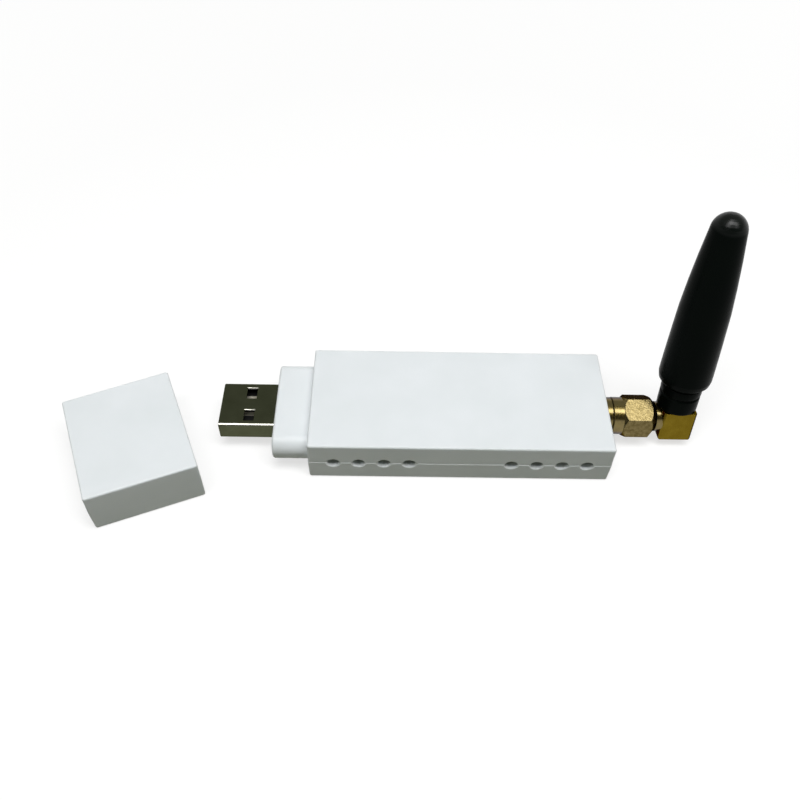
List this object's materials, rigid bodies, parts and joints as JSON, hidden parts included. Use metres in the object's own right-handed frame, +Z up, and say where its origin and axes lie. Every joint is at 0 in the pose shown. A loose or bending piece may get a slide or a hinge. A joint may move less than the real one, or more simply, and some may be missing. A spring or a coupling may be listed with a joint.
{
  "type": "nb-iot usb dongle",
  "caption": "White USB radio dongle with vent holes, a loose slip-on cap and a black stub antenna on a gold right-angle screw connector that swivels.",
  "frame": {"origin": "middle of the housing's flat underside", "axes": "+X along the housing from the plug to the antenna connector, -Y out of the side with the vent holes that faces the viewer, +Z up out of the top cover"},
  "size_m": [0.1389, 0.0412, 0.0539],
  "materials": {
    "white_shell": "satin white moulded plastic",
    "plug_steel": "nickel-plated, fine grain",
    "tongue_plastic": "black moulded plastic",
    "gold_contact": "gold-plated",
    "gold_brass": "gold-plated, turned and milled",
    "ring_bronze": "spring bronze",
    "gasket_rubber": "red silicone",
    "line_insulator": "white fluoropolymer",
    "former_plastic": "natural moulded plastic",
    "coil_wire": "plated spring wire",
    "boot_rubber": "matt black moulded rubber",
    "board_laminate": "green solder mask",
    "module_laminate": "blue solder mask",
    "can_steel": "tinned sheet",
    "card_plastic": "plain card",
    "chip_resin": "moulded resin",
    "inductor_ferrite": "ferrite",
    "capacitor_ceramic": "ceramic",
    "light_lens": "clear resin"
  },
  "bodies": {
    "housing": {"top_cover": "white_shell", "bottom_cover": "white_shell", "cap": "white_shell", "usb_shell": "plug_steel", "usb_tongue": "tongue_plastic", "usb_contact_1": "gold_contact", "usb_contact_2": "gold_contact", "usb_contact_3": "gold_contact", "usb_contact_4": "gold_contact", "circuit_board": "board_laminate", "radio_module_board": "module_laminate", "radio_module_shield": "can_steel", "sim_socket": "can_steel", "sim_card": "card_plastic", "usb_bridge_chip": "chip_resin", "voltage_regulator": "chip_resin", "power_inductor": "inductor_ferrite", "crystal": "can_steel", "capacitors": "capacitor_ceramic", "status_lights": "light_lens", "jack_body": "gold_brass", "jack_insulator": "line_insulator", "jack_contact": "gold_contact"},
    "coupling_nut": {"coupling_nut": "gold_brass"},
    "antenna": {"elbow_body": "gold_brass", "elbow_cover": "gold_brass", "retaining_ring": "ring_bronze", "sealing_gasket": "gasket_rubber", "plug_insulator": "line_insulator", "plug_contact": "gold_contact", "feed_pin": "gold_contact", "feed_insulator": "line_insulator", "antenna_core": "former_plastic", "antenna_coil": "coil_wire", "antenna_boot": "boot_rubber"}
  },
  "joints": [
    {"name": "antenna_swivel", "type": "hinge", "parent": "housing", "child": "antenna", "pos_m": [0.04802, 0, 0.00535], "axis": [1, 0, 0], "range_deg": [-77, 99]},
    {"name": "nut_spin", "type": "hinge", "parent": "housing", "child": "coupling_nut", "pos_m": [0.038, 0, 0.00535], "axis": [1, 0, 0], "continuous": true}
  ]
}
